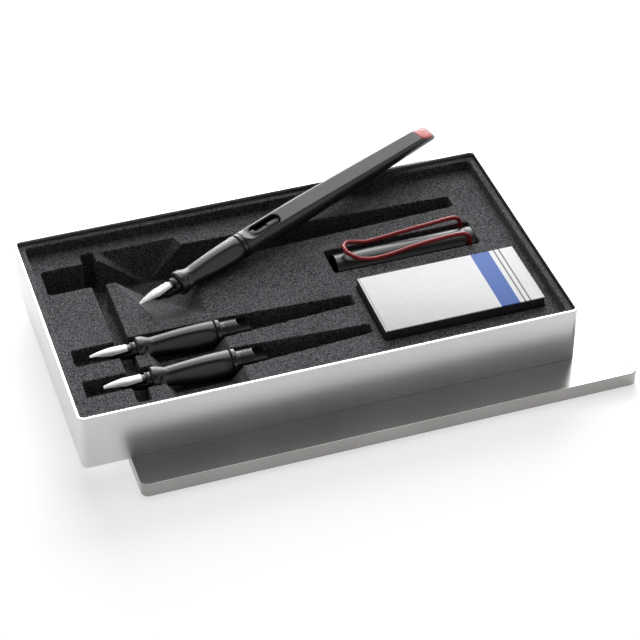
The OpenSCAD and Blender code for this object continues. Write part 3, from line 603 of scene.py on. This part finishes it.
def make_grip(name, frame_matrix, body, node):
    """Grip with its finger flats, the threaded spigot and the fork that holds the cartridge."""
    outer = eased([(GRIP_X, FEED_R), (GRIP_X, 5.1), (GRIP_X + 0.35, 5.7), (GRIP_X + 0.9, LIP_R),
                   (GRIP_X + 2, LIP_R)], 0.2, steps=3)
    rings = 56
    outer += [(x, grip_radius(x)) for x in
              (GRIP_X + 2.3 + (RING_X - 0.8 - GRIP_X - 2.3) * k / rings for k in range(rings + 1))]
    outer += eased([(RING_X - 0.7, GRIP_R), (RING_X, GRIP_R - 0.5), (RING_X, SPIGOT_R),
                    (SECTION_L, SPIGOT_R), (SECTION_L, BORE_R), (BORE_X, BORE_R),
                    (BORE_X, FEED_R), (GRIP_X, FEED_R)], 0.25, steps=3)
    bm = turned(outer, 120)
    for side in (-1, 1):
        outwards = Vector((0, -side * math.sin(FLAT_LEAN), math.cos(FLAT_LEAN)))
        flatten(bm, outwards, lambda p: grip_flat(p, side), 0.6)
    fork_x, fork_w = PRONG_X + 3.4, 6.4
    bm = shaped(bm, [prism(arc((fork_x, 0), fork_w / 2, 90, 270)
                           + [(SECTION_L + 1, -fork_w / 2), (SECTION_L + 1, fork_w / 2)], -6, 6)])
    thread = [bm.verts.new((THREAD_X + x, 0, r)) for x, r in
              ((0, SPIGOT_R - 0.1), (0.3, THREAD_R), (0.5, THREAD_R), (0.8, SPIGOT_R - 0.1))]
    line = [bm.edges.new(pair) for pair in zip(thread, thread[1:])]
    turns, per_turn = TURNS - 0.8, 60
    bmesh.ops.spin(bm, geom=thread + line, cent=(0, 0, 0), axis=(1, 0, 0),
                   angle=math.tau * turns, steps=int(per_turn * turns),
                   dvec=(PITCH / per_turn, 0, 0))
    finish_piece(name, bm, frame_matrix, GRIP, body, node, 32)


def make_ring(name, frame_matrix, body, node):
    ring_r, inner_r = GRIP_R + 0.1, 4.75
    start = RING_X + SEAT_GAP
    outline = eased([(start, inner_r), (start, GRIP_R - 0.35), (RING_X + 0.4, ring_r),
                     (RING_END - 0.4, ring_r), (RING_END, GRIP_R - 0.3), (RING_END, inner_r)],
                    0.3, steps=3)
    finish_piece(name, turned(outline + outline[:1]), frame_matrix, RING, body,
                 node)


# Pen

BARREL_X = RING_END + SEAT_GAP
BARREL_R, THREAD_BORE_R, INK_BORE_R = 6.3, 4.9, 4
THREAD_BORE_END, INK_BORE_END = 74.35, 132.6
PEN_L, TAPER_X = 181.5, 95
TAIL_SLANT = 22
TAIL_AT = Vector((PEN_L - 0.6, 0, -0.6))


def barrel_radius(x):
    return BARREL_R - 2 * (max(0, x - TAPER_X) / (PEN_L - TAPER_X)) ** 1.1


def barrel_flat(point):
    """Height of the barrel's two flats, which run out in a ramp beside the ring."""
    flat = 5.2 - 2.2 * max(0, point.x - TAPER_X) / (PEN_L - TAPER_X)
    return flat + 1.15 * (1 - ramp_up(point.x, BARREL_X - 0.4, BARREL_X + 4.6))


def oblong(x0, x1, half):
    """Outline with straight sides and round ends."""
    return arc((x1 - half, 0), half, -90, 90) + arc((x0 + half, 0), half, 90, 270)


def make_barrel():
    tail_round = 2.2
    outline = eased([(BARREL_X, THREAD_BORE_R), (BARREL_X, BARREL_R),
                     (BARREL_X + 0.8, BARREL_R)], 0.25)
    # the rings lie closer together where the flats begin
    outline += [(BARREL_X + 0.9 + 0.2 * k, BARREL_R) for k in range(7)]
    outline += [(BARREL_X + 2.3 + 0.4 * k, BARREL_R) for k in range(16)]
    x = BARREL_X + 9
    while x < PEN_L - tail_round:
        outline.append((x, barrel_radius(x)))
        x += 1.5
    tail_r = barrel_radius(PEN_L - tail_round)
    outline += [(PEN_L - tail_round + tail_round * math.sin(a),
                 tail_r - tail_round * (1 - math.cos(a)))
                for a in (math.radians(11.25 * k) for k in range(9))]
    outline += [(PEN_L, 0)]
    bm = turned(outline, 160)
    for side in (-1, 1):
        flatten(bm, Vector((0, 0, side)), barrel_flat, 0.1)
    bore = turned([(BARREL_X, THREAD_BORE_R), (THREAD_BORE_END, THREAD_BORE_R),
                   (THREAD_BORE_END, INK_BORE_R), (INK_BORE_END, INK_BORE_R), (INK_BORE_END, 0)])
    bmesh.ops.reverse_faces(bore, faces=bore.faces)
    join(bm, bore)
    bmesh.ops.remove_doubles(bm, verts=bm.verts, dist=WELD)
    slant = math.radians(TAIL_SLANT)
    split(bm, TAIL_AT, Vector((math.sin(slant), 0, math.cos(slant))), clear_outer=True)
    cut = [e for e in bm.edges if e.is_boundary and e.verts[0].co.x > INK_BORE_END]
    tail = bmesh.ops.contextual_create(bm, geom=cut)["faces"][0]
    bevel(bm, tail.edges[:], 0.25)
    x0, x1, half, chamfer = BARREL_X + 5, BARREL_X + 22.4, 3, 0.7
    window = oblong(x0, x1, half)
    widened = oblong(x0 - chamfer, x1 + chamfer, half + chamfer)
    bm = shaped(bm, [prism(window, -8, 8), prism(widened, 4.8, 5.5, window)])
    finish_piece("pen_barrel_moulded", bm, PEN_BARREL, BARREL, "pen_barrel",
                 "pen_barrel", 32)


def make_plug():
    """Oval red button that stands a little proud of the slanted tail face."""
    half_l, half_w, power, back = 4.5, 3.6, 3.2, 5.1
    bm = bmesh.new()
    bmesh.ops.create_circle(bm, cap_ends=True, radius=1, segments=48)
    for v in bm.verts:
        squared = (abs(v.co.x) ** power + abs(v.co.y) ** power) ** (1 / power)
        v.co = (v.co.x / squared * half_l - back, v.co.y / squared * half_w, 0)
    made = bmesh.ops.extrude_face_region(bm, geom=bm.faces[:])["geom"]
    top = [f for f in made if isinstance(f, bmesh.types.BMFace)]
    bmesh.ops.translate(bm, vec=(0, 0, 0.3),
                        verts=[v for v in made if isinstance(v, bmesh.types.BMVert)])
    for inset, lift in ((0.15, 0.12), (0.4, 0.12), (1, 0.1)):
        bmesh.ops.inset_region(bm, faces=top[:1], thickness=inset, depth=lift)
    bmesh.ops.translate(bm, vec=(0, 0, -0.2), verts=bm.verts)
    bmesh.ops.recalc_face_normals(bm, faces=bm.faces)
    tail_face = Matrix.Translation(TAIL_AT * MM) @ turn(TAIL_SLANT, "Y")
    finish_piece("pen_end_button", bm, PEN_BARREL @ tail_face, PLUG, "pen_barrel",
                 "pen_end_plug", 50)


# Cap: distances are from its mouth

CAP_L, CAP_R, CAP_BORE_R, CROWN_L = 69, 7, 6.4, 3.9
CLIP_X = CAP_L - CROWN_L


def clip_holes():
    """The clip's two feet pass through the tube's end and the crown."""
    half_w = 1.65
    return [block((CLIP_X - half_w, side * CAP_R - 2, -1.4),
                  (CLIP_X + half_w, side * CAP_R + 2, 4.3)) for side in (-1, 1)]


def make_cap():
    outline = eased([(0, CAP_BORE_R), (0, CAP_R), (CLIP_X, CAP_R), (CLIP_X, CAP_BORE_R)], 0.25)
    tube = shaped(turned(outline + outline[:1], 128), clip_holes())
    finish_piece("cap_tube_moulded", tube, CAP, CAP_PLASTIC, "cap", "cap_tube")
    start, edge_r = CLIP_X + SEAT_GAP, 1.1
    outline = [(start, 0), (start, CAP_R - 0.3), (start + 0.1, CAP_R - 0.08), (start + 0.3, CAP_R)]
    outline += arc((CAP_L - edge_r, CAP_R - edge_r), edge_r, 90, 0, 6) + [(CAP_L, 0)]
    slots = []
    for angle in (0, 90):
        slot = block((CAP_L - 0.6, -4.2, -0.5), (CAP_L + 1, 4.2, 0.5))
        bmesh.ops.rotate(slot, verts=slot.verts, cent=(0, 0, 0),
                         matrix=Matrix.Rotation(math.radians(angle), 3, "X"))
        slots.append(slot)
    crown = shaped(turned(outline, 128), clip_holes() + slots)
    finish_piece("cap_crown_moulded", crown, CAP, CROWN, "cap", "cap_crown")


CLIP_WIRE_R = 1.05
CLIP_HALF = [
    (4.9, 0, 10.9), (5.3, 2.6, 10.6), (7.8, 5.6, 9.8), (11, 6.7, 8.5), (17.5, 6.65, 7.1),
    (26, 6.6, 7.6), (38, 6.15, 9.2), (50, 6.05, 10.3), (CLIP_X - 5.2, 6.4, 10.8),
    (CLIP_X - 1.7, 6.65, 9.7), (CLIP_X - 0.2, 6.75, 7.2), (CLIP_X, 6.8, 4.2), (CLIP_X, 6.7, 1.6),
    (CLIP_X, 6, 0.4),
]


def smooth_route(route, steps=8):
    """Points on a smooth curve through all the points of a route."""
    path = []
    for i in range(len(route) - 1):
        a, b, c, d = (route[max(0, min(len(route) - 1, i + k))] for k in (-1, 0, 1, 2))
        for t in (k / steps for k in range(steps)):
            path.append(0.5 * (2 * b + (c - a) * t + (2 * a - 5 * b + 4 * c - d) * t * t
                               + (3 * b - a - 3 * c + d) * t ** 3))
    return path + [route[-1]]


def make_clip():
    """Round wire along the same route as the drawing's, which has two like halves."""
    path = smooth_route([Vector((x, -y, z)) for x, y, z in CLIP_HALF[:0:-1]]
                        + [Vector(point) for point in CLIP_HALF])
    curve = bpy.data.curves.new("clip_route", "CURVE")
    curve.dimensions = "3D"
    curve.bevel_depth = CLIP_WIRE_R
    curve.bevel_resolution = 5
    curve.use_fill_caps = True
    spline = curve.splines.new("POLY")
    spline.points.add(len(path) - 1)
    for point, at in zip(spline.points, path):
        point.co = (*at, 1)
    helper = add_object("clip_route", curve)
    bm = applied(helper)
    bpy.data.objects.remove(helper)
    bpy.data.curves.remove(curve)
    bmesh.ops.remove_doubles(bm, verts=bm.verts, dist=WELD)
    bmesh.ops.recalc_face_normals(bm, faces=bm.faces)
    finish_piece("cap_clip_wire", bm, CAP, LACQUER, "clip", "cap_clip", 50)


def make_carton():
    """Board tray with a printed lid whose flap tucks in behind the front wall."""
    wide, deep, high, sheet = 76.4, 39.4, 10.2, 0.5
    corner, flap_in, flap_low = 0.3, 0.8, 8.6
    tray = shaped(block((0, 0, 0), (wide, deep, high - sheet - 0.1), corner, 0.1),
                  [block((sheet, sheet, sheet), (wide - sheet, deep - sheet, high + 1))])
    finish_piece("carton_tray_folded", tray, CARTON, BOARD_GREY, "carton",
                 "carton_base")
    lid = block((0, 0, high - sheet), (wide, deep, high), corner, 0.12)
    join(lid, block((flap_in, flap_in, flap_low), (wide - flap_in, 1.3, high - sheet + 0.01),
                    0, 0.1))
    finish_piece("carton_lid_printed", lid, CARTON, BOARD_PRINTED, "carton_top",
                 "carton_top")


make_box()
make_lid()
make_tray()
for section, frame_matrix, tip_w, body in (("pen", PEN_GRIP, 1.8, "pen_section"),
                                           ("section_a", SECTION_A, 1.5, "section_a"),
                                           ("section_b", SECTION_B, 2.2, "section_b")):
    make_nib(section + "_nib_sheet", frame_matrix, tip_w, body, section + "_nib")
    make_grip(section + "_grip_moulded", frame_matrix, body, section + "_grip")
    make_ring(section + "_ring_turned", frame_matrix, "pen_ring" if section == "pen" else body,
              section + "_trim_ring")
make_barrel()
make_plug()
make_cap()
make_clip()
make_carton()


# Stage, light and camera

def make_stage():
    bm = bmesh.new()
    bmesh.ops.create_grid(bm, x_segments=8, y_segments=8, size=6)
    mesh = to_mesh("studio_floor", bm)
    mesh.materials.append(floor_paper())
    add_object("studio_floor", mesh)


def add_softbox(name, at, aim, size, power):
    """Soft lamp that the camera doesn't see, with its place and size in metres."""
    lamp = bpy.data.lights.new(name, "AREA")
    lamp.shape = "RECTANGLE"
    lamp.size, lamp.size_y = size
    lamp.energy = power
    softbox = add_object(name, lamp)
    softbox.location = at
    softbox.visible_camera = False
    softbox.rotation_euler = (Vector(aim) - Vector(at)).to_track_quat("-Z", "Y").to_euler()


def make_world():
    """White to the camera; reflections also see the darker room above the front of the table."""
    world = bare(bpy.data.worlds, "studio")
    bpy.context.scene.world = world
    path = add_node(world, "LightPath")
    seen = calculated(world, "MAXIMUM", path.outputs["Is Camera Ray"],
                      path.outputs["Is Transmission Ray"])
    towards = add_node(world, "SeparateXYZ",
                       Vector=add_node(world, "TexCoord").outputs["Generated"])
    high = spread(world, towards.outputs["Z"], 0.4, 0.6, kind="SMOOTHSTEP")
    front = spread(world, towards.outputs["Y"], 0.25, -0.1, kind="SMOOTHSTEP")
    dark = calculated(world, "MULTIPLY", high, front)
    dimmest = spread(world, towards.outputs["X"], 0.12, 0.36, 0.1, 0.3)
    room = spread(world, dark, 0.0, 1.0, 1.0, dimmest)
    lit = add_node(world, "Mix", {"data_type": "FLOAT"}, Factor=path.outputs["Is Glossy Ray"],
                   _2=0.1, _3=room)
    level = add_node(world, "Mix", {"data_type": "FLOAT"}, Factor=seen, _2=lit, _3=1.0)
    background = add_node(world, "Background", Color=(1, 1, 1, 1), Strength=level)
    add_node(world, "OutputWorld", Surface=background)


def make_camera():
    """Camera fitted to the straight edges of the box and the lid."""
    camera = bpy.data.cameras.new("camera")
    camera.sensor_width = 36
    camera.lens = 122.775
    camera.clip_end = 50
    yaw, pitch, roll = 0.3176, 0.6968, -0.0044
    eye = add_object("camera", camera)
    eye.location = BOX @ (Vector((-115.18, -677.84, 652.3)) * MM)
    eye.rotation_euler = (Matrix.Rotation(-yaw, 4, "Z")
                          @ Matrix.Rotation(math.pi / 2 - pitch, 4, "X")
                          @ Matrix.Rotation(roll, 4, "Z")).to_euler()
    bpy.context.scene.camera = eye


make_stage()
make_world()
add_softbox("softbox_behind", (0.34, 1.15, 0.68), (0, 0, 0), (1.1, 0.95), 20)
add_softbox("strip_light_low", (0.4, 1.25, 0.2), (0, 0, 0.02), (1.4, 0.18), 8)
add_softbox("softbox_above", (0.2, 0.42, 1.22), (0, 0, 0), (0.8, 0.8), 4.2)
make_camera()
bpy.context.scene.view_settings.view_transform = "Standard"
